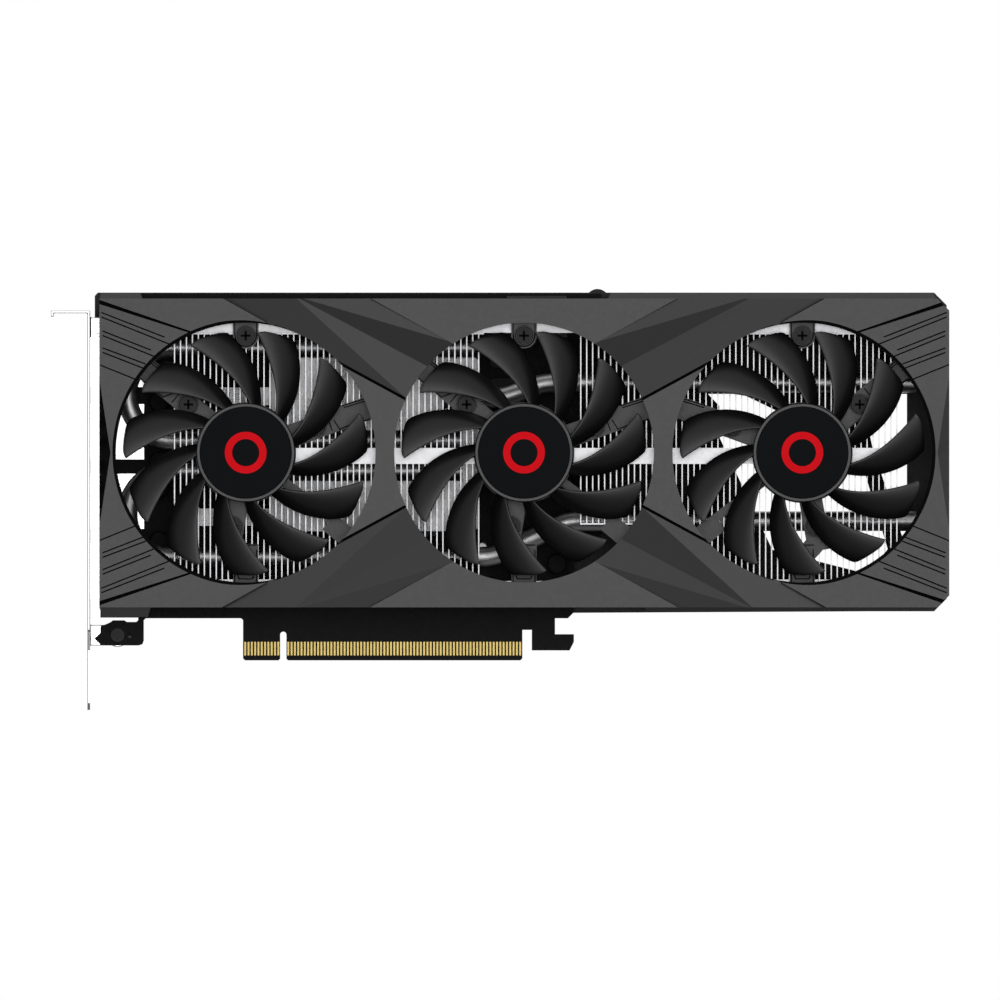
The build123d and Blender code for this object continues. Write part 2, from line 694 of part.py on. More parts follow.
def window_outlines():
    """The backplate's two flow-through windows behind the last fan, either side of a leaning rib."""
    return (
        [(128.2, 80.4), (138.4, 80.4), (173.4, 63.4), (182.4, 33.6), (180.0, 30.3), (172.8, 27.0),
         (147.6, 33.4), (131.6, 67.4), (131.6, 76.8)],
        [(174.4, 80.4), (188.2, 80.4), (188.2, 36.2), (187.2, 36.2), (177.8, 64.4)],
    )


def backplate():
    """Metal back cover with a folded top edge, windows, cooling slots and a screw ear."""
    body = plate([(CARD_LEFT + 0.3, 13.6), (CARD_RIGHT - 4.5, 14.9), (CARD_RIGHT - 0.8, 18.6),
                  (CARD_RIGHT - 0.8, 107.2), (CARD_RIGHT - 4.6, CARD_TOP), (-56.0, CARD_TOP), (-56.9, 110.0),
                  (-56.9, 101.4), (-58.0, 101.4), (-58.0, 99.5), (CARD_LEFT + 0.3, 99.5)],
                 BACKPLATE_LOW, BACKPLATE_HIGH)
    body += rod(EAR_X, EAR_Y, EAR_R, BACKPLATE_LOW, BACKPLATE_HIGH)
    for outline in window_outlines():
        body -= plate(outline, BACKPLATE_LOW - 1, BACKPLATE_HIGH + 1)
    for x, y, _ in COOLER_HOLES:
        body -= rod(x, y, 4.0, BACKPLATE_LOW - 1, BACKPLATE_HIGH + 1)
    for step in range(7):
        x = -38.0 + 6.0 * step
        body -= plate([(x, 24.0), (x + 2.4, 24.0), (x + 10.4, 44.0), (x + 8.0, 44.0)], -5, -3)
    for x, y in BACKPLATE_SCREWS:
        body += rod(x, y, 3.0, BACKPLATE_HIGH, -BOARD_TOP)
    for x, y in BACKPLATE_SCREWS + SHROUD_SCREWS:
        body -= rod(x, y, 1.25, BACKPLATE_LOW - 1, 0)
        body -= rod(x, y, 2.7, BACKPLATE_LOW - 1, BACKPLATE_LOW + 0.7)
    return body


def backplate_screws():
    """Screws from behind: three through the board, and four into the cover's far end."""
    parts = []
    ends = [BOARD_TOP + 0.6] * len(BACKPLATE_SCREWS) + [5.0] * len(SHROUD_SCREWS)
    for (x, y), end in zip(BACKPLATE_SCREWS + SHROUD_SCREWS, ends):
        head = rod(x, y, 2.5, BACKPLATE_LOW, BACKPLATE_LOW + 0.7)
        body = head + rod(x, y, 1.2, BACKPLATE_LOW + 0.7, end)
        parts.append(body - Pos(x, y, BACKPLATE_LOW) * cross(2.8, 0.6, 0.8))
    return parts


# ---------------------------------------------------------------- bracket and sockets


def bracket():
    """Two-slot bracket: face plate, folded tab with two notches, two tails and two fixing ears."""
    outer = BRACKET_X
    inner = BRACKET_X + BRACKET_T
    body = block((outer, inner), (9.0, BRACKET_TOP), (BRACKET_BACK, BRACKET_FRONT))
    tab = block((outer - TAB_REACH, inner), (BRACKET_TOP - BRACKET_T, BRACKET_TOP),
                (BRACKET_BACK, BRACKET_FRONT))
    tab += block((outer - TAB_REACH, outer - TAB_REACH + BRACKET_T), (BRACKET_TOP - 1.9, BRACKET_TOP),
                 (BRACKET_BACK, BRACKET_FRONT))
    for z in notch_places():
        tab -= block((outer - TAB_REACH - 1, outer - 5.4), (100, 110), (z - 2.2, z + 2.2))
        tab -= Pos(outer - 5.4, 105, z) * Rot(90, 0, 0) * Cylinder(2.2, 10)
    body += tab
    for low in (BRACKET_BACK + 1.2, BRACKET_BACK + 1.2 + NOTCH_PITCH):
        tail = [(low, 9.5), (low + 12.0, 9.5), (low + 10.2, 3.0), (low + 10.2, -13.0), (low + 8.6, BRACKET_FOOT),
                (low + 1.6, BRACKET_FOOT), (low, -13.0)]
        body += side_plate(tail, outer, inner)
    for y in PORT_Y:
        body -= block((outer - 1, inner + 1), (y - 8.6, y + 8.6), (BOARD_TOP + 1.0, BOARD_TOP + 7.2))
    for step in range(13):
        y = 22.0 + 6.2 * step
        slot = [(15.0, y), (31.5, y + 2.0), (31.5, y + 4.9), (15.0, y + 2.9)]
        body -= side_plate(slot, outer - 1, inner + 1)
    for x, y, _ in BOARD_HOLES[:2]:
        ear = block((inner - 0.1, x), (y - EAR_HALF, y + EAR_HALF), (-BOARD_TOP - BRACKET_T, -BOARD_TOP))
        ear += rod(x, y, EAR_END_R, -BOARD_TOP - BRACKET_T, -BOARD_TOP)
        body += ear - rod(x, y, 1.25, -3, 0)
    return body


def notch_places():
    """The two screw notches, one slot pitch apart."""
    return BRACKET_BACK + 5.2, BRACKET_BACK + 5.2 + NOTCH_PITCH


def side_plate(points, low, high):
    """A plate in the bracket's plane: points are (height above the board, y)."""
    flat = plate([(-z, y) for z, y in points], low, high)
    return Rot(0, 90, 0) * flat


def socket(number):
    """A display socket: an open metal shell with its contact tongue."""
    y = PORT_Y[number]
    wide, tall = (7.5, 5.2) if number == 0 else (8.3, 5.0)
    left = BRACKET_X + 0.1
    low = BOARD_TOP
    shell = block((left, left + 17.0), (y - wide, y + wide), (low + 1.6, low + 1.6 + tall))
    shell -= block((left - 1, left + 15.6), (y - wide + 0.5, y + wide - 0.5), (low + 2.1, low + 1.1 + tall))
    shell += block((left + 4.0, left + 17.0), (y - wide, y + wide), (low, low + 1.7))
    middle = low + 1.6 + tall / 2
    tongue = block((left + 3.0, left + 15.7), (y - wide + 2.2, y + wide - 2.2), (middle - 0.5, middle + 0.5))
    return shell + tongue


def bracket_screws():
    """Screws through the board's lower tab and upper corner into the bracket's ears."""
    return [screw(x, y, BOARD_TOP, BRACKET_SCREW_HEAD_R, 2.6) for x, y, _ in BOARD_HOLES[:2]]


def main():
    os.makedirs("parts", exist_ok=True)
    save("pcb", pcb())
    save("gold_contacts", *gold_contacts())
    save("gpu_package", gpu_package())
    save("gpu_die", gpu_die())
    save("memory_chips", *memory_chips())
    save("thermal_pads", *thermal_pads())
    save("chokes", *chokes())
    save("mosfets", *mosfets())
    save("capacitors", *capacitors())
    save("power_inlet", power_inlet())
    save("power_pins", *power_pins())
    save("fan_headers", *fan_headers())
    save("cold_plate", cold_plate())
    save("cooler_base", cooler_base())
    for number in range(3):
        save(f"heat_pipe_{number + 1}", heat_pipe(number))
    save("fin_stack_left", *fin_stack(LEFT_STACK, FIN_LOW))
    save("fin_stack_right", *fin_stack(RIGHT_STACK, 2.0, notch=(105.5, 41.0)))
    save("cooler_bar", cooler_bar())
    save("cooler_rails", *cooler_rails())
    save("cooler_screws", *cooler_screws())
    for number in range(3):
        name = f"fan_{number + 1}"
        place = fan_place(number)
        save(f"{name}_rotor", place * rotor())
        save(f"{name}_cap", place * hub_cap())
        save(f"{name}_shaft", place * shaft())
        save(f"{name}_magnet", place * magnet())
        save(f"{name}_bearing", place * bearing())
        save(f"{name}_stator", *[place * piece for piece in stator()])
        save(f"{name}_base", place * handed(number, fan_base()))
        save(f"{name}_carrier", place * handed(number, carrier()))
    save("fan_screws", *fan_screws())
    save("shroud", shroud())
    save("backplate", backplate())
    save("backplate_screws", *backplate_screws())
    save("bracket", bracket())
    save("bracket_screws", *bracket_screws())
    save("hdmi_socket", socket(0))
    for number in (1, 2, 3):
        save(f"displayport_socket_{number}", socket(number))


main()
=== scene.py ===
import bmesh
import bpy
import json
import math
from mathutils import Matrix, Vector


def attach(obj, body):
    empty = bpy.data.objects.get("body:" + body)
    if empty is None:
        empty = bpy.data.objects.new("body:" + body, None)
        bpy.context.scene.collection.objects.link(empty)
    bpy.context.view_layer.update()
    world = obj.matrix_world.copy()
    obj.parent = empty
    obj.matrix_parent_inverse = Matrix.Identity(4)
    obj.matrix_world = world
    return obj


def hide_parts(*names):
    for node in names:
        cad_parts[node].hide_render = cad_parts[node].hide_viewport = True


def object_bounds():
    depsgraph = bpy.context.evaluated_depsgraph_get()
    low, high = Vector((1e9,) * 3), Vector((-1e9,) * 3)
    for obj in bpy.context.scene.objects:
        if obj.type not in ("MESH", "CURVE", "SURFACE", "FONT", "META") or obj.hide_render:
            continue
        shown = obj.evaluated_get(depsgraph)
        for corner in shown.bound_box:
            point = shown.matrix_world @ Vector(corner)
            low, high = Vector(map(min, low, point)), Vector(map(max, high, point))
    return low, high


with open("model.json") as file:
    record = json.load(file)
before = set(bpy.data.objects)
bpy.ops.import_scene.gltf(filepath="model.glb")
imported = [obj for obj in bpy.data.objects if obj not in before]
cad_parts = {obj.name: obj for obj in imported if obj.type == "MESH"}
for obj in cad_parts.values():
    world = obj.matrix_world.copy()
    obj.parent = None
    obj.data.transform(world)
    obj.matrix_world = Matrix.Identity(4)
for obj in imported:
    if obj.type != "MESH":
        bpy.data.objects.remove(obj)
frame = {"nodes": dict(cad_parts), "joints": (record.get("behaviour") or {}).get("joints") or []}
cad_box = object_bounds()

# Pieces are drawn in millimetres as seen from the fan side: x along the card, y up, z out of the
# board towards the fans. UPRIGHT turns a finished drawing into the frame's metres.
MM = 0.001
UPRIGHT = Matrix.Rotation(math.radians(90), 4, "X") @ Matrix.Scale(MM, 4)

FAN_X = [joint["pos_m"][0] / MM for joint in frame["joints"]]
FAN_Y = frame["joints"][0]["pos_m"][2] / MM
MIDDLE_X = FAN_X[1]
FAN_PITCH = FAN_X[1] - FAN_X[0]

BOARD_TOP = 0.8
BACKPLATE_TOP = -3.2

# The cover's face: its sides, its front, the hollow behind it and the foot of its rim.
LEFT = -55.5
RIGHT = 201.0
LOW = 16.0
HIGH = 109.2
FRONT = 36.3
HOLLOW_TOP = 31.0
RIM_LOW = 24.4
WALL = 1.8
CORNER_CUT = 3.6

# The cover's folded walls: where each begins or ends along the card, and how far its lip stands out.
LIP_TOP = 12.0
TOP_LIP = 1.7
LOW_NEAR_LIP = 2.9
LOW_FAR_LIP = 1.2
TOP_NEAR_END = -42.6
TOP_FAR_START = 98.0
LOW_NEAR_END = -40.0
LOW_FAR_START = 109.0
FAR_END = RIGHT - 4.0
END_HOOK = CORNER_CUT + 1.0
END_TURN = CORNER_CUT + 0.75

# The fans' openings, the ducts behind them and the screw tab at the top of each.
CARRIER_TOP = 25.6
OPENING_R = 39.2
DUCT_R = 40.7
DUCT_LOW = CARRIER_TOP
TAB_LOW = DUCT_LOW + 0.1
TAB_TOP = 27.0
TAB_R = 35.3
TAB_HALF = 3.85
TAB_ROOT_R = OPENING_R + 0.6

# Cutters run past the faces that they open, and joined pieces sink into the cover.
CLEAR_TOP = 45.0
PAST = 1.0
SUNK = 0.4

# The fans.
BLADES = 11
HUB_R = 14.95
HUB_TOP = 36.0
HUB_LOW = 28.0
TIP_R = 37.1
CUP_R = 13.35
BOSS_R = 2.6
CAP_R = 13.8
CAP_SEAT = HUB_TOP - 0.62

SHARP_DEGREES = 35
MERGE = 0.0005


# ------------------------------------------------------------------ materials


DRIFT_SCALE = 45.0
ROUGHNESS_SPREAD = 0.06
GRAIN_DEPTH = 0.0002


def node(tree, kind, inputs=None, **settings):
    """Adds a node; inputs maps a socket's name or number to a value or to another node's output."""
    made = tree.nodes.new(kind)
    for key, value in settings.items():
        setattr(made, key, value)
    for key, value in (inputs or {}).items():
        if isinstance(value, bpy.types.NodeSocket):
            tree.links.new(value, made.inputs[key])
        else:
            made.inputs[key].default_value = value
    return made


def shade(colour, factor):
    """The colour made darker or lighter, with full alpha."""
    return tuple(channel * factor for channel in colour) + (1.0,)


def finish(name, colour, roughness, metallic=0.0, specular=0.5, grain=900.0, bump=0.06, drift=0.12):
    """A satin or metal surface: slow colour drift, varied roughness and fine grain in the bump."""
    material = bpy.data.materials.new(name)
    material.use_nodes = True
    tree = material.node_tree
    shader = tree.nodes["Principled BSDF"]
    place = node(tree, "ShaderNodeTexCoord").outputs["Object"]
    slow = node(tree, "ShaderNodeTexNoise", {"Vector": place, "Scale": DRIFT_SCALE, "Detail": 3.0})
    fine = node(tree, "ShaderNodeTexNoise", {"Vector": place, "Scale": grain, "Detail": 2.0})
    tone = node(tree, "ShaderNodeMixRGB", {"Fac": slow.outputs["Fac"], "Color1": shade(colour, 1 - drift),
                                           "Color2": shade(colour, 1 + drift)})
    rough = node(tree, "ShaderNodeMapRange", {"Value": fine.outputs["Fac"], "From Min": 0.3, "From Max": 0.7,
                                              "To Min": roughness * (1 - ROUGHNESS_SPREAD),
                                              "To Max": roughness * (1 + ROUGHNESS_SPREAD)})
    relief = node(tree, "ShaderNodeBump", {"Height": fine.outputs["Fac"], "Strength": bump,
                                           "Distance": GRAIN_DEPTH})
    tree.links.new(tone.outputs["Color"], shader.inputs["Base Color"])
    tree.links.new(rough.outputs["Result"], shader.inputs["Roughness"])
    tree.links.new(relief.outputs["Normal"], shader.inputs["Normal"])
    shader.inputs["Metallic"].default_value = metallic
    shader.inputs["Specular IOR Level"].default_value = specular
    return material


FINISHES = {
    "cover": finish("cover_plastic", (0.011, 0.011, 0.0115), 0.3, specular=0.5, bump=0.006, drift=0.05),
    # Painted shade: a near-black dull finish laid on groove floors, rim steps, the bracket-end notch and the
    # holders' lines.
    "line": finish("painted_groove_shade", (0.003, 0.003, 0.003), 0.6, specular=0.05, bump=0.02),
    # Painted light: the fans' holders are made lighter than the cover to make up for the light that the
    # blades and cover keep off them.
    "carrier": finish("carrier_plastic", (0.03, 0.03, 0.031), 0.4, specular=0.6, bump=0.02),
    "fan": finish("fan_plastic", (0.006, 0.006, 0.0062), 0.36, specular=0.5, bump=0.02),
    "hub_rim": finish("hub_rim_satin", (0.02, 0.02, 0.021), 0.3, specular=0.5, bump=0.01),
    "cap": finish("cap_gloss", (0.004, 0.005, 0.006), 0.15, specular=0.02, bump=0.0, drift=0.2),
    "mark": finish("mark_red", (0.9, 0.006, 0.014), 0.35, specular=0.03, bump=0.02, drift=0.06),
    "board": finish("board_mask", (0.004, 0.004, 0.0045), 0.45, specular=0.1, bump=0.1),
    "gold": finish("contact_gold", (0.46, 0.35, 0.12), 0.35, metallic=1.0, bump=0.02),
    "nickel": finish("bright_nickel", (0.92, 0.92, 0.93), 0.2, metallic=1.0, bump=0.02, drift=0.03),
    "pipe": finish("pipe_nickel", (0.72, 0.72, 0.73), 0.42, metallic=1.0, bump=0.02, drift=0.04),
    "fins": finish("fin_aluminium", (0.4, 0.4, 0.41), 0.28, metallic=1.0, bump=0.02, drift=0.05),
    "bar": finish("bar_aluminium", (0.42, 0.42, 0.43), 0.3, metallic=1.0, bump=0.008, drift=0.02),
    "plate": finish("cooler_plate", (0.7, 0.7, 0.71), 0.4, metallic=1.0, bump=0.01, drift=0.04),
    "backplate": finish("backplate_black", (0.012, 0.012, 0.0125), 0.45, specular=0.3, bump=0.12),
    "chip": finish("chip_epoxy", (0.01, 0.01, 0.0105), 0.55, specular=0.15),
    "silicon": finish("die_silicon", (0.3, 0.31, 0.33), 0.08, metallic=1.0, bump=0.0),
    "pad": finish("pad_silicone", (0.36, 0.4, 0.45), 0.7),
    "ferrite": finish("ferrite", (0.03, 0.03, 0.032), 0.6, specular=0.2, bump=0.15),
    "can": finish("can_sleeve", (0.006, 0.006, 0.0065), 0.4, specular=0.06),
    "socket": finish("socket_plastic", (0.008, 0.008, 0.009), 0.35, specular=0.3),
    "solder": finish("solder_tin", (0.06, 0.06, 0.062), 0.4, metallic=1.0, bump=0.02),
    "screw": finish("screw_black", (0.005, 0.005, 0.0055), 0.35, specular=0.22),
    "copper": finish("motor_copper", (0.7, 0.3, 0.14), 0.35, metallic=1.0, grain=1600.0, bump=0.2),
    "bronze": finish("bearing_bronze", (0.5, 0.33, 0.16), 0.4, metallic=1.0),
    "steel": finish("ground_steel", (0.34, 0.34, 0.35), 0.3, metallic=1.0),
    "magnet": finish("magnet_ferrite", (0.05, 0.05, 0.055), 0.6),
}

CAD_FINISHES = {
    "backplate": "backplate", "pcb": "board", "gold_contacts": "gold", "bracket": "nickel",
    "hdmi_socket": "nickel", "displayport_socket_1": "nickel", "displayport_socket_2": "nickel",
    "displayport_socket_3": "nickel", "bracket_screws": "screw", "fin_stack_left": "fins",
    "fin_stack_right": "fins", "cooler_bar": "bar", "cooler_rails": "bar", "heat_pipe_1": "pipe",
    "heat_pipe_2": "pipe", "heat_pipe_3": "pipe", "cold_plate": "plate", "cooler_base": "plate",
    "gpu_package": "chip", "gpu_die": "silicon", "memory_chips": "chip", "thermal_pads": "pad",
    "chokes": "ferrite", "mosfets": "chip", "capacitors": "can", "power_inlet": "socket",
    "power_pins": "gold", "fan_headers": "socket", "cooler_screws": "steel", "fan_screws": "screw",
    "backplate_screws": "screw", "shroud": "cover",
}
for number in (1, 2, 3):
    for part, look in (("rotor", "fan"), ("cap", "cap"), ("shaft", "steel"), ("magnet", "magnet"),
                       ("bearing", "bronze"), ("stator", "copper"), ("base", "carrier"),
                       ("carrier", "carrier")):
        CAD_FINISHES[f"fan_{number}_{part}"] = look
for name, look in CAD_FINISHES.items():
    mesh = frame["nodes"][name].data
    mesh.materials.clear()
    mesh.materials.append(FINISHES[look])


# ------------------------------------------------------------------ drawing


def place_mesh(name, drawing, look, body, stands_for=(), smooth=0.0):
    """Turns a finished drawing upright and makes it a piece that rides on body."""
    bmesh.ops.remove_doubles(drawing, verts=drawing.verts, dist=MERGE)
    bmesh.ops.recalc_face_normals(drawing, faces=drawing.faces)
    bmesh.ops.transform(drawing, matrix=UPRIGHT, verts=drawing.verts)
    mesh = bpy.data.meshes.new(name)
    drawing.to_mesh(mesh)
    drawing.free()
    piece = bpy.data.objects.new(name, mesh)
    bpy.context.scene.collection.objects.link(piece)
    for each in ([look] if isinstance(look, str) else look):
        mesh.materials.append(FINISHES[each])
    if smooth:
        mesh.shade_smooth()
        mesh.set_sharp_from_angle(angle=math.radians(smooth))
    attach(piece, body)
    if stands_for:
        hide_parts(*stands_for)
    return piece


def prism(drawing, outline, low, high):
    """A closed prism on the outline's points, from low to high; gives its low corners, then its high."""
    corners = [drawing.verts.new((x, y, low)) for x, y in outline]
    base = drawing.faces.new(corners)
    raised = bmesh.ops.extrude_face_region(drawing, geom=[base], use_keep_orig=True)["geom"]
    upper = [item for item in raised if isinstance(item, bmesh.types.BMVert)]
    bmesh.ops.translate(drawing, verts=upper, vec=(0, 0, high - low))
    return corners + upper


def turned(drawing, profile, steps=128):
    """A closed ring or disc: the profile's points are (radius, height), turned about z."""
    corners = [drawing.verts.new((radius, 0, height)) for radius, height in profile]
    edges = [drawing.edges.new(pair) for pair in zip(corners, corners[1:])]
    if profile[0][0] > 0 or profile[-1][0] > 0:
        edges.append(drawing.edges.new((corners[-1], corners[0])))
    bmesh.ops.spin(drawing, geom=corners + edges, cent=(0, 0, 0), axis=(0, 0, 1),
                   angle=math.tau, steps=steps, use_merge=True)


def ring(outer, inner, low, high, centre, steps=128):
    """A separate drawing of a square-edged ring."""
    drawing = bmesh.new()
    turned(drawing, [(outer, low), (outer, high), (inner, high), (inner, low)], steps)
    bmesh.ops.remove_doubles(drawing, verts=drawing.verts, dist=MERGE)
    bmesh.ops.translate(drawing, verts=drawing.verts, vec=(centre[0], centre[1], 0))
    return drawing


def under_arc(radius, x, y, steps):
    """Points along the lower half of a circle about x, y, from left to right."""
    turns = [math.pi + math.pi * step / steps for step in range(steps + 1)]
    return [(x + radius * math.cos(turn), y + radius * math.sin(turn)) for turn in turns]


def absorb(drawing, part):
    """Adds a separate drawing to this one and frees it."""
    mesh = bpy.data.meshes.new("part")
    part.to_mesh(mesh)
    part.free()
    drawing.from_mesh(mesh)
    bpy.data.meshes.remove(mesh)


def solid(drawing, name="tool"):
    """A hidden helper object in drawing units, for one boolean."""
    bmesh.ops.recalc_face_normals(drawing, faces=drawing.faces)
    mesh = bpy.data.meshes.new(name)
    drawing.to_mesh(mesh)
    drawing.free()
    helper = bpy.data.objects.new(name, mesh)
    bpy.context.scene.collection.objects.link(helper)
    return helper


def combine(target, drawing, operation):
    """Cuts a drawing away from the helper object target, or joins it on."""
    tool = solid(drawing)
    modifier = target.modifiers.new("combine", "BOOLEAN")
    modifier.object = tool
    modifier.operation = operation
    modifier.solver = "EXACT"
    bpy.context.view_layer.update()
    evaluated = target.evaluated_get(bpy.context.evaluated_depsgraph_get())
    mesh = bpy.data.meshes.new_from_object(evaluated)
    target.modifiers.remove(modifier)
    old = target.data
    target.data = mesh
    bpy.data.meshes.remove(old)
    tool_mesh = tool.data
    bpy.data.objects.remove(tool)
    bpy.data.meshes.remove(tool_mesh)


def drawing_of(helper):
    """The helper object's mesh as a drawing again; the helper is used up."""
    drawing = bmesh.new()
    drawing.from_mesh(helper.data)
    mesh = helper.data
    bpy.data.objects.remove(helper)
    bpy.data.meshes.remove(mesh)
    return drawing


def rounded(piece, width):
    """Rounds a piece's sharp edges; width is in drawing units."""
    edge = piece.modifiers.new("edge", "BEVEL")
    edge.width = width * MM
    edge.segments = 2
    edge.limit_method = "ANGLE"
    edge.angle_limit = math.radians(SHARP_DEGREES)


# ------------------------------------------------------------------ cover


# Corners of the cover's facets as (u, v, z), with u and v from the middle fan's axis. Each facet is a
# list of corners, and the quarter of the cover that is listed here is mirrored to the other three.
CREASES = {
    "far_top": (-93.6, 48.0, 33.8), "root": (-69.6, 47.4, 36.25), "near_top": (-47.8, 47.4, 35.2),
    "meeting": (-22.7, 33.6, 36.2), "rim_top": (-19.0, 31.6, 36.2), "rim_low": (-27.0, 24.9, 34.1),
    "waist": (-33.9, 14.9, 36.2),
}
FACETS = (("far_top", "root", "waist"), ("root", "waist", "rim_low"), ("root", "rim_low", "meeting"),
          ("rim_low", "rim_top", "meeting"), ("root", "meeting", "near_top"))

# The notch at the bracket's end is deep, and its facets are painted near-black as shade; the one at the far
# end is shallow.
END_CREASES = {"top": (-129.5, 31.0, 36.25), "point": (-124.8, 0.0, 36.25), "low": (-129.5, -31.0, 36.25),
               "edge": (-129.5, 0.0, 27.5)}
FAR_END_CREASES = {**END_CREASES, "edge": (-129.5, 0.0, 35.0)}
END_FACETS = (("top", "edge", "point"), ("edge", "low", "point"))

# Grooves of one corner from the same axis. The thin ones run in pairs. Their cut faces are painted
# near-black as shade.
THICK_GROOVE = ((-128.6, 45.6), (-99.0, 35.8))
THIN_GROOVES = (((-127.6, 42.3), (-108.5, 34.85)), ((-127.6, 40.95), (-106.7, 32.6)),
                ((-127.2, 36.7), (-112.6, 30.95)), ((-127.2, 35.35), (-110.8, 28.7)),
                ((-127.2, 31.6), (-114.2, 26.75)), ((-127.2, 30.25), (-112.4, 24.5)))
CLOSING_GROOVE = ((-128.6, 26.7), (-116.0, 21.6))
WAIST_GROOVE = ((-59.5, 29.1), (-34.3, 15.4))
THICK_WIDTH = 1.35
THICK_END_WIDTH = 0.6
THICK_FLOOR = 34.0
THIN_WIDTH = 0.5
THIN_FLOOR = 35.5
CLOSING_FLOOR = 35.6
WAIST_WIDTH = 0.9
WAIST_FLOOR = 33.2
GROOVE_RISE = 0.6

# The step in the rim of each end fan's opening, on its outer side, with its cut faces painted near-black as
# shade.
RIM_WIDTH = 1.0
RIM_REACH = 115
RIM_TAPER = 35
RIM_FLOOR = 34.6

# The slot of the painted groove shade.
PAINTED_SHADE = 1


def about_middle(u, v):
    """A point given from the middle fan's axis."""
    return MIDDLE_X + u, FAN_Y + v


def mirrored(corners, across, over):
    """The corners turned over to another side of the middle fan; each factor is 1 or -1."""
    return {name: (u * across, v * over, z) for name, (u, v, z) in corners.items()}


def valley(drawing, corners, facets, look=0):
    """A cutter whose underside is the facets; look is the finish that its cut leaves."""
    verts = {}
    for name, (u, v, z) in corners.items():
        x, y = about_middle(u, v)
        verts[name] = drawing.verts.new((x, y, z))
    faces = [drawing.faces.new([verts[name] for name in facet]) for facet in facets]
    for face in faces:
        face.material_index = look
    raised = bmesh.ops.extrude_face_region(drawing, geom=faces, use_keep_orig=True)["geom"]
    for item in raised:
        if isinstance(item, bmesh.types.BMVert):
            item.co.z = CLEAR_TOP


def groove(drawing, start, end, width, floor, flare=1.7, end_width=None):
    """A cutter for a straight groove. Widths are at its open top, and its floor is narrower by flare."""
    end_width = width if end_width is None else end_width
    along = Vector((end[0] - start[0], end[1] - start[1])).normalized()
    side = Vector((-along.y, along.x))
    corners = ((start, width, 1), (end, end_width, 1), (end, end_width, -1), (start, width, -1))

    def outline(share):
        return [(point[0] + side.x * wide / 2 * turn * share, point[1] + side.y * wide / 2 * turn * share)
                for point, wide, turn in corners]

    verts = prism(drawing, outline(1.0), floor, FRONT + GROOVE_RISE)
    for vert, (x, y) in zip(verts, outline(1 / flare)):
        vert.co.x = x
        vert.co.y = y


def corner_grooves(drawing, across, over):
    """One corner's grooves: a thick one, three pairs of thin ones, a closing line and the waist's."""
    def at(points):
        return [about_middle(u * across, v * over) for u, v in points]

    groove(drawing, *at(THICK_GROOVE), THICK_WIDTH, THICK_FLOOR, end_width=THICK_END_WIDTH)
    for points in THIN_GROOVES:
        groove(drawing, *at(points), THIN_WIDTH, THIN_FLOOR)
    groove(drawing, *at(CLOSING_GROOVE), THIN_WIDTH, CLOSING_FLOOR)
    groove(drawing, *at(WAIST_GROOVE), WAIST_WIDTH, WAIST_FLOOR, flare=1.2)


def cover_outline(inset=0.0):
    """The cover's outline, with its far corners cut, drawn in by inset."""
    cut = CORNER_CUT + inset / 2
    return [(LEFT + inset, LOW + inset), (RIGHT - cut, LOW + inset),
            (RIGHT - inset, LOW + cut), (RIGHT - inset, HIGH - cut),
            (RIGHT - cut, HIGH - inset), (LEFT + inset, HIGH - inset)]


def rim_outline(side):
    """The outline of a ring round an end fan, open towards the middle and thinning to its ends."""
    outline = []
    for angle in range(-RIM_REACH, RIM_REACH + 1, 2):
        width = RIM_WIDTH * min(1.0, (RIM_REACH - abs(angle)) / RIM_TAPER)
        outline.append((math.radians(angle), OPENING_R + 0.02 + width))
    outline += [(turn, OPENING_R - 2.0) for turn, _ in reversed(outline)]
    middle = MIDDLE_X + FAN_PITCH * side
    return [(middle + radius * math.cos(turn) * side, FAN_Y + radius * math.sin(turn))
            for turn, radius in outline]


def tab_outline(x):
    """The outline of the screw tab that hangs into the top of the opening at x."""
    root = FAN_Y + TAB_ROOT_R
    return [(x - TAB_HALF, root)] + under_arc(TAB_HALF, x, FAN_Y + TAB_R, 16) + [(x + TAB_HALF, root)]


def fold(edge, out, lip, foot, slope=0.3):
    """The section of a side wall as points (y, z): flush with the edge above, and out by lip below."""
    inner = edge - out * WALL
    return [(inner, RIM_LOW), (edge, RIM_LOW), (edge, LIP_TOP + slope), (edge + out * lip, LIP_TOP),
            (edge + out * lip, foot), (inner, foot)]


def side_bar(drawing, section, start, end, lean):
    """A bar along x with this section; lean slants the ends of the part that stands past the cover."""
    middle = (LOW + HIGH) / 2
    near = [drawing.verts.new((start, y, z)) for y, z in section]
    face = drawing.faces.new(near)
    raised = bmesh.ops.extrude_face_region(drawing, geom=[face], use_keep_orig=True)["geom"]
    far = [item for item in raised if isinstance(item, bmesh.types.BMVert)]
    bmesh.ops.translate(drawing, verts=far, vec=(end - start, 0, 0))
    for verts, inwards in ((near, 1), (far, -1)):
        for vert in verts:
            vert.co.x += inwards * lean * max(0.0, abs(vert.co.y - middle) - (HIGH - LOW) / 2)


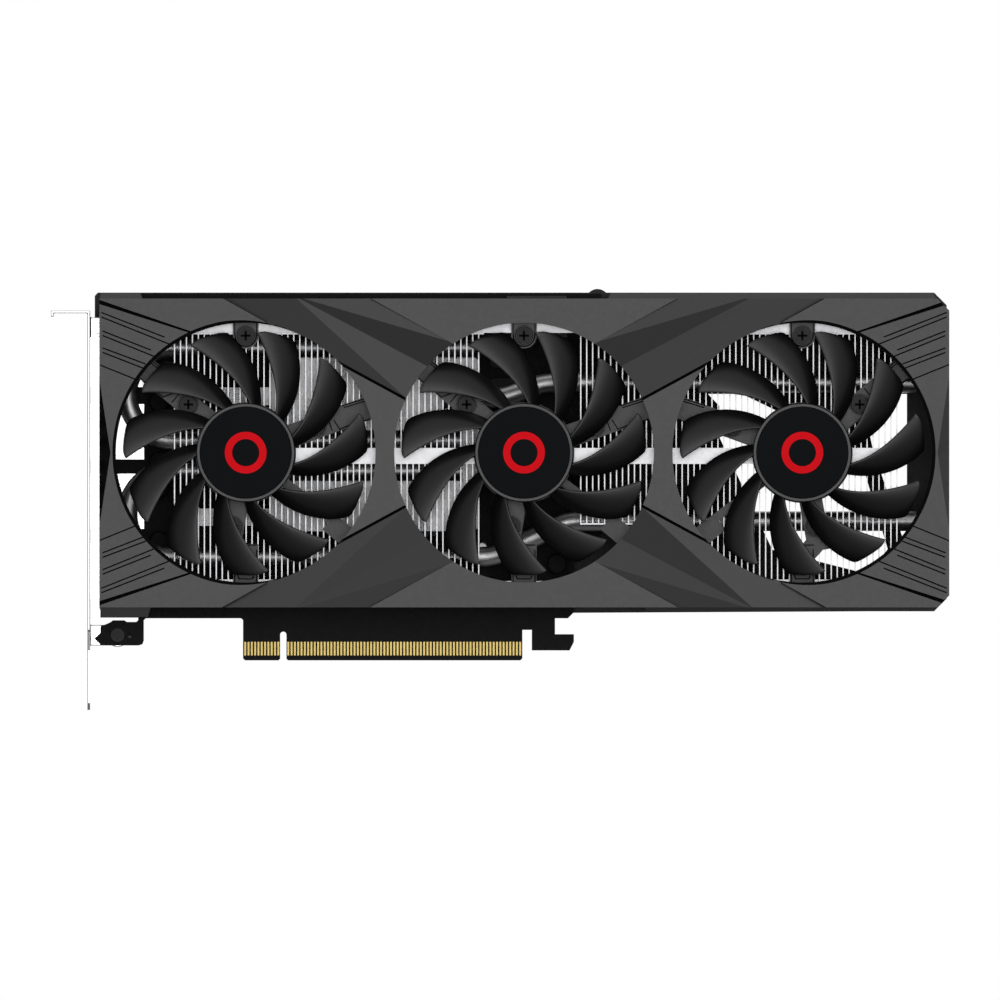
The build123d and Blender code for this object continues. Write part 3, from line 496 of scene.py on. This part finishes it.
def cover_face():
    """The cover's face with its facets, grooves, hollow, ducts, openings and screw tabs."""
    blank = bmesh.new()
    prism(blank, cover_outline(), RIM_LOW, FRONT)
    body = solid(blank, "cover_blank")
    body.data.materials.append(FINISHES["cover"])
    body.data.materials.append(FINISHES["line"])

    bands = bmesh.new()
    for across in (1, -1):
        for over in (1, -1):
            valley(bands, mirrored(CREASES, across, over), FACETS)
    # The bracket-end notch's facets take the painted shade.
    valley(bands, END_CREASES, END_FACETS, look=PAINTED_SHADE)
    valley(bands, mirrored(FAR_END_CREASES, -1, 1), END_FACETS)
    combine(body, bands, "DIFFERENCE")

    hollow = bmesh.new()
    prism(hollow, cover_outline(WALL), RIM_LOW - PAST, HOLLOW_TOP)
    combine(body, hollow, "DIFFERENCE")

    lines = bmesh.new()
    rims = bmesh.new()
    for across in (1, -1):
        for over in (1, -1):
            corner_grooves(lines, across, over)
        prism(rims, rim_outline(across), RIM_FLOOR, CLEAR_TOP)
    # The grooves and rim steps leave painted shade on the faces they cut.
    for cutter in (lines, rims):
        for face in cutter.faces:
            face.material_index = PAINTED_SHADE
        combine(body, cutter, "DIFFERENCE")

    for x in FAN_X:
        duct = ring(DUCT_R, OPENING_R - PAST, DUCT_LOW, HOLLOW_TOP + SUNK, (x, FAN_Y))
        combine(body, duct, "UNION")
    for x in FAN_X:
        hole = bmesh.new()
        bmesh.ops.create_cone(hole, cap_ends=True, segments=160, radius1=OPENING_R, radius2=OPENING_R,
                              depth=40)
        bmesh.ops.translate(hole, verts=hole.verts, vec=(x, FAN_Y, 30))
        combine(body, hole, "DIFFERENCE")
    for x in FAN_X:
        tab = bmesh.new()
        prism(tab, tab_outline(x), TAB_LOW, TAB_TOP)
        combine(body, tab, "UNION")
    return drawing_of(body)


def cover_walls(drawing):
    """The folds along the two long edges, cut away over the open stretch between them, and the ends."""
    side_bar(drawing, fold(HIGH, 1, TOP_LIP, BOARD_TOP), LEFT, TOP_NEAR_END, lean=0.3)
    side_bar(drawing, fold(HIGH, 1, TOP_LIP, BACKPLATE_TOP), TOP_FAR_START, FAR_END, lean=0.5)
    side_bar(drawing, fold(LOW, -1, LOW_NEAR_LIP, BOARD_TOP, slope=0.5), LEFT, LOW_NEAR_END, lean=0.3)
    side_bar(drawing, fold(LOW, -1, LOW_FAR_LIP, BACKPLATE_TOP), LOW_FAR_START, FAR_END, lean=0.5)
    prism(drawing, [(RIGHT - END_HOOK, LOW), (RIGHT - CORNER_CUT, LOW), (RIGHT, LOW + CORNER_CUT),
                    (RIGHT, HIGH - CORNER_CUT), (RIGHT - CORNER_CUT, HIGH), (RIGHT - END_HOOK, HIGH),
                    (RIGHT - END_HOOK, HIGH - WALL), (RIGHT - END_TURN, HIGH - WALL),
                    (RIGHT - WALL, HIGH - END_TURN), (RIGHT - WALL, LOW + END_TURN),
                    (RIGHT - END_TURN, LOW + WALL), (RIGHT - END_HOOK, LOW + WALL)],
          BACKPLATE_TOP, RIM_LOW)
    prism(drawing, [(LEFT, LOW), (LEFT + WALL, LOW + WALL), (LEFT + WALL, HIGH - WALL), (LEFT, HIGH)],
          LIP_TOP, RIM_LOW)


def cover():
    """The whole cover, as one moulding."""
    drawing = cover_face()
    cover_walls(drawing)
    piece = place_mesh("cover", drawing, ("cover", "line"), "card", ["shroud"])
    rounded(piece, 0.25)


# ------------------------------------------------------------------ fans


# A blade's edges in degrees, each a constant, a part per millimetre of radius and a part per its square.
LEAD_CURVE = (45.92, 3.109, -0.0328)
TRAIL_CURVE = (58.2, 0.715, 0.01186)
LEAD_TIP_SWEEP = 1.3
TRAIL_TIP_SWEEP = -2.5

# How much the tip's two corners are rounded off, and over what share of the chord.
LEAD_ROUND = 0.9
LEAD_SHARE = 0.25
TRAIL_ROUND = 0.5
TRAIL_SHARE = 0.15

# A blade's height at its leading edge, its fall to the trailing edge, and its bow between root and tip.
BLADE_ROOT_R = HUB_R - 1.0
BLADE_TOP = 34.3
ROOT_FALL = 5.3
TIP_FALL = 4.8
EVEN_FALL = 0.14
BOW = 0.5
BLADE_T = 1.0
BLADE_EDGE = 0.3

MARK_OUTER_R = 6.3
MARK_INNER_R = 4.1
MARK_LOW = 0.02
MARK_HIGH = 0.1


def edge_angle(curve, radius):
    """A blade edge's angle in degrees at this radius."""
    constant, linear, square = curve
    return constant + linear * radius + square * radius ** 2


def blade_point(chord, span):
    """Where a blade's middle surface lies: chord runs from its leading edge, span from its root."""
    radius = BLADE_ROOT_R + (TIP_R - BLADE_ROOT_R) * span
    lead = edge_angle(LEAD_CURVE, radius) + LEAD_TIP_SWEEP * span ** 2
    trail = edge_angle(TRAIL_CURVE, radius) + TRAIL_TIP_SWEEP * span ** 2
    near_lead = max(0.0, LEAD_SHARE - chord) / LEAD_SHARE
    near_trail = max(0.0, chord - (1 - TRAIL_SHARE)) / TRAIL_SHARE
    radius -= span ** 8 * (LEAD_ROUND * near_lead ** 2 + TRAIL_ROUND * near_trail ** 2)
    angle = math.radians(lead + (trail - lead) * chord)
    fall = (ROOT_FALL + (TIP_FALL - ROOT_FALL) * span) * (EVEN_FALL * chord + (1 - EVEN_FALL) * chord ** 2)
    height = BLADE_TOP - fall - BOW * math.sin(math.pi * span) * (1 - chord)
    return radius * math.cos(angle), radius * math.sin(angle), height


def blade():
    """A drawing of one blade about the fan's axis, with its edges rounded."""
    drawing = bmesh.new()
    bmesh.ops.create_grid(drawing, x_segments=10, y_segments=20, size=0.5)
    for vert in drawing.verts:
        vert.co = blade_point(vert.co.x + 0.5, vert.co.y + 0.5)
    bmesh.ops.recalc_face_normals(drawing, faces=drawing.faces)
    bmesh.ops.solidify(drawing, geom=drawing.faces[:], thickness=BLADE_T)
    rims = [edge for edge in drawing.edges if edge.is_manifold and edge.calc_face_angle() > 1.0]
    bmesh.ops.bevel(drawing, geom=rims, offset=BLADE_EDGE, affect="EDGES", segments=2, profile=0.5,
                    material=-1)
    return drawing


def rotor(fan, x):
    """One moulding: the hub's cup, with a satin rim, and its blades."""
    drawing = bmesh.new()
    profile = [(CUP_R, HUB_LOW), (HUB_R - 0.2, HUB_LOW), (HUB_R, HUB_LOW + 0.2), (HUB_R, HUB_TOP - 0.55),
               (HUB_R - 0.12, HUB_TOP - 0.16), (HUB_R - 0.3, HUB_TOP), (CAP_R + 0.15, HUB_TOP),
               (CAP_R + 0.05, HUB_TOP - 0.15), (CAP_R + 0.05, CAP_SEAT), (BOSS_R, CAP_SEAT),
               (BOSS_R, HUB_TOP - 2.6), (CUP_R, HUB_TOP - 2.2)]
    turned(drawing, profile)
    bmesh.ops.remove_doubles(drawing, verts=drawing.verts, dist=MERGE)
    for face in drawing.faces:
        face.material_index = int(face.calc_center_median().z > HUB_TOP - 0.01)
    for step in range(BLADES):
        one = blade()
        bmesh.ops.rotate(one, verts=one.verts, cent=(0, 0, 0),
                         matrix=Matrix.Rotation(math.tau * step / BLADES, 3, "Z"))
        absorb(drawing, one)
    bmesh.ops.translate(drawing, verts=drawing.verts, vec=(x, FAN_Y, 0))
    place_mesh(f"{fan}_blades", drawing, ("fan", "hub_rim"), fan, [f"{fan}_rotor"],
               smooth=40)


def hub_cap(fan, x):
    """The glossy disc in the hub, very slightly domed."""
    drawing = bmesh.new()
    profile = [(0, HUB_TOP - 0.6), (CAP_R, HUB_TOP - 0.6), (CAP_R, HUB_TOP - 0.15), (CAP_R - 0.15, HUB_TOP),
               (9.0, HUB_TOP + 0.02), (0, HUB_TOP + 0.03)]
    turned(drawing, profile)
    bmesh.ops.translate(drawing, verts=drawing.verts, vec=(x, FAN_Y, 0))
    place_mesh(f"{fan}_disc", drawing, "cap", fan, [f"{fan}_cap"], smooth=40)


def hub_mark(fan, x):
    """A plain red ring inlaid in the cap."""
    drawing = ring(MARK_OUTER_R, MARK_INNER_R, HUB_TOP + MARK_LOW, HUB_TOP + MARK_HIGH, (x, FAN_Y))
    place_mesh(f"{fan}_ring", drawing, "mark", fan, smooth=40)


# ------------------------------------------------------------------ painted groove shade on the fans' holders


# The lines below are painted shade: black raised strips where the grooves, the screws' seats and their cross
# recesses hold shade.
LINE_T = 0.05
LINE_WIDTH = 0.35
ARM_ANGLES = (20, 140, 260)
FAN_SCREW_R = 22.6
HEAD_LINE_R = 2.65
SEAT_LINE_R = 3.05
CROSS_REACH = 1.35
CROSS_WIDTH = 0.62
CROSS_FLOOR = 27.41
TAB_LINE_R = 3.3
TAB_LINE_TOP = TAB_R + 3.7

# Painted shade for the grooves on two arms, from the fan's axis with the arm along x, and on the lug under
# the fan.
ARM_LINES = {
    20: (((26.8, -2.6), (26.8, 2.8)), ((28.4, 0.0), (29.05, -3.05), (33.1, -2.9)),
         ((32.3, 3.3), (39.0, 3.0)), ((32.6, 2.6), (39.0, 2.3)), ((36.6, -3.3), (38.6, -3.3))),
    140: (((26.8, -2.8), (26.8, 2.6)), ((28.1, 0.0), (29.9, 3.2), (33.0, 3.2)),
          ((32.3, -3.3), (39.0, -3.0)), ((32.6, -2.6), (39.0, -2.3)), ((36.6, 3.3), (38.6, 3.3))),
}
LUG_LINES = (((-3.3, -27.9), (3.3, -27.9)), ((-3.3, -29.4), (-3.3, -39.0)), ((3.3, -29.4), (3.3, -39.0)),
             ((-1.9, -30.4), (1.9, -30.4), (2.3, -30.9), (2.3, -37.6), (1.9, -38.1), (-1.9, -38.1),
              (-2.3, -37.6), (-2.3, -30.9), (-1.9, -30.4)))


def strip(drawing, points, height, width=LINE_WIDTH):
    """A thin raised line through the points, on a face at this height: a painted shade line."""
    for start, end in zip(points, points[1:]):
        along = Vector((end[0] - start[0], end[1] - start[1])).normalized() * (width / 2)
        side = Vector((-along.y, along.x))
        first = Vector(start) - along
        last = Vector(end) + along
        prism(drawing, [first + side, last + side, last - side, first - side], height, height + LINE_T)


def hoop(drawing, centre, radius, width):
    """A thin raised circle round a screw, at the height of the tabs: painted shade of the groove round its
    head.
    """
    half = width / 2
    absorb(drawing, ring(radius + half, radius - half, TAB_TOP, TAB_TOP + LINE_T, centre, steps=40))


def holder_groove_shade(fan, x, hand):
    """Painted shade, as black raised lines, for the moulded grooves on a fan's arms, lug and tab, and for
    the circles and cross recesses of its screws.
    """
    centre = Vector((x, FAN_Y))
    drawing = bmesh.new()

    def placed(point):
        return centre + Vector((point[0] * hand, point[1]))

    for angle, lines in ARM_LINES.items():
        turn = Matrix.Rotation(math.radians(angle), 2)
        for line in lines:
            strip(drawing, [placed(turn @ Vector(point)) for point in line], CARRIER_TOP)
    for line in LUG_LINES:
        strip(drawing, [placed(point) for point in line], CARRIER_TOP)
    seats = [Matrix.Rotation(math.radians(angle), 2) @ Vector((FAN_SCREW_R, 0)) for angle in ARM_ANGLES]
    for seat in seats + [Vector((0, TAB_R))]:
        middle = placed(seat)
        hoop(drawing, middle, HEAD_LINE_R, 0.25)
        hoop(drawing, middle, SEAT_LINE_R, 0.15)
        for reach in (Vector((CROSS_REACH, 0)), Vector((0, CROSS_REACH))):
            strip(drawing, [middle - reach, middle + reach], CROSS_FLOOR, width=CROSS_WIDTH)
    outline = ([(-TAB_LINE_R, TAB_LINE_TOP)] + under_arc(TAB_LINE_R, 0, TAB_R, 12)
               + [(TAB_LINE_R, TAB_LINE_TOP)])
    strip(drawing, [placed(point) for point in outline], TAB_TOP, width=0.3)
    place_mesh(f"{fan}_holder_groove_shade", drawing, "line", "card")


# ------------------------------------------------------------------ small pieces


SOLDER_DOT = (-46.4, 7.2)


def solder_dot():
    """The tinned pad beside the lower bracket screw."""
    drawing = bmesh.new()
    turned(drawing, [(0, BOARD_TOP), (0.75, BOARD_TOP), (0.6, BOARD_TOP + 0.12), (0, BOARD_TOP + 0.2)], 24)
    bmesh.ops.translate(drawing, verts=drawing.verts, vec=(*SOLDER_DOT, 0))
    place_mesh("solder_dot", drawing, "solder", "card", smooth=40)


def rounded_node(name, width):
    """Joins a CAD node's loose triangles and rounds its sharp edges, both by modifiers."""
    weld = frame["nodes"][name].modifiers.new("weld", "WELD")
    weld.merge_threshold = 0.01 * MM
    rounded(frame["nodes"][name], width)


# ------------------------------------------------------------------ stage


# The key light is a patch of the sky round KEY_FROM. It falls off as a power of 1 plus the distance
# from that direction, which is 1 less the cosine between them, in units of KEY_SPREAD.
KEY_FROM = Vector((0.085, -0.994, 0.065))
KEY_STRENGTH = 3.5
KEY_SPREAD = 0.035
KEY_FALL = -1.3
BEHIND_STRENGTH = 0.9
BELOW_STRENGTH = 0.08
ABOVE_STRENGTH = 0.5
WHITE = (1, 1, 1, 1)

FLOOR_HALF = 12.0
FLOOR_GAP = 0.0005
FLOOR_X = 0.07
VIEW_WIDTH = 0.3018
CAMERA_AT = (0.0654, -0.6, 0.0484)


def sky(scene):
    """A dim sky with the key light in front and a soft light behind; the camera sees plain white."""
    world = bpy.data.worlds.new("studio")
    world.use_nodes = True
    scene.world = world
    tree = world.node_tree
    tree.nodes.clear()
    facing = node(tree, "ShaderNodeTexCoord").outputs["Generated"]
    axes = node(tree, "ShaderNodeSeparateXYZ", {"Vector": facing})
    key = node(tree, "ShaderNodeVectorMath", {0: facing, 1: KEY_FROM}, operation="DOT_PRODUCT")
    away = node(tree, "ShaderNodeMapRange", {"Value": key.outputs["Value"], "From Min": 1.0,
                                             "From Max": 1 - KEY_SPREAD, "To Min": 1.0, "To Max": 2.0},
                clamp=False)
    fade = node(tree, "ShaderNodeMath", {0: away.outputs[0], 1: KEY_FALL}, operation="POWER")
    patch = node(tree, "ShaderNodeMath", {0: fade.outputs[0], 1: KEY_STRENGTH}, operation="MULTIPLY")
    behind = node(tree, "ShaderNodeMapRange", {"Value": axes.outputs["Y"], "From Min": 0.6,
                                               "From Max": 0.98, "To Min": 0.0, "To Max": BEHIND_STRENGTH},
                  interpolation_type="SMOOTHSTEP")
    above = node(tree, "ShaderNodeMapRange", {"Value": axes.outputs["Z"], "From Min": -0.4, "From Max": 1.0,
                                              "To Min": BELOW_STRENGTH, "To Max": ABOVE_STRENGTH})
    total = node(tree, "ShaderNodeMath", {0: patch.outputs[0], 1: above.outputs[0]}, operation="ADD")
    total = node(tree, "ShaderNodeMath", {0: total.outputs[0], 1: behind.outputs[0]}, operation="ADD")
    light = node(tree, "ShaderNodeBackground", {"Color": WHITE, "Strength": total.outputs[0]})
    plain = node(tree, "ShaderNodeBackground", {"Color": WHITE, "Strength": 1.0})
    path = node(tree, "ShaderNodeLightPath")
    mixed = node(tree, "ShaderNodeMixShader", {"Fac": path.outputs["Is Camera Ray"], 1: light.outputs[0],
                                               2: plain.outputs[0]})
    node(tree, "ShaderNodeOutputWorld", {"Surface": mixed.outputs[0]})


def pale_floor(scene):
    """A plain pale floor just under the card, left out of reflections."""
    sheet = bmesh.new()
    bmesh.ops.create_grid(sheet, x_segments=1, y_segments=1, size=FLOOR_HALF)
    mesh = bpy.data.meshes.new("floor")
    sheet.to_mesh(mesh)
    sheet.free()
    ground = bpy.data.objects.new("floor", mesh)
    ground.location = (FLOOR_X, 0, cad_box[0][2] - FLOOR_GAP)
    ground.visible_glossy = False
    scene.collection.objects.link(ground)
    mesh.materials.append(finish("floor_pale", (0.93, 0.93, 0.93), 0.6, drift=0.01))


def front_camera(scene):
    """A camera square to the fans, with no perspective."""
    camera = bpy.data.cameras.new("camera")
    camera.type = "ORTHO"
    camera.ortho_scale = VIEW_WIDTH
    viewer = bpy.data.objects.new("camera", camera)
    viewer.location = CAMERA_AT
    viewer.rotation_euler = (math.radians(90), 0, 0)
    scene.collection.objects.link(viewer)
    scene.camera = viewer


def studio():
    """The light, the floor and the camera."""
    scene = bpy.context.scene
    scene.view_settings.view_transform = "Standard"
    sky(scene)
    pale_floor(scene)
    front_camera(scene)


studio()
cover()
for number, x in enumerate(FAN_X, start=1):
    fan = f"fan_{number}"
    rotor(fan, x)
    hub_cap(fan, x)
    hub_mark(fan, x)
    holder_groove_shade(fan, x, hand=-1 if number == 3 else 1)
solder_dot()
rounded_node("bracket", 0.33)
rounded_node("fan_screws", 0.12)
rounded_node("bracket_screws", 0.12)
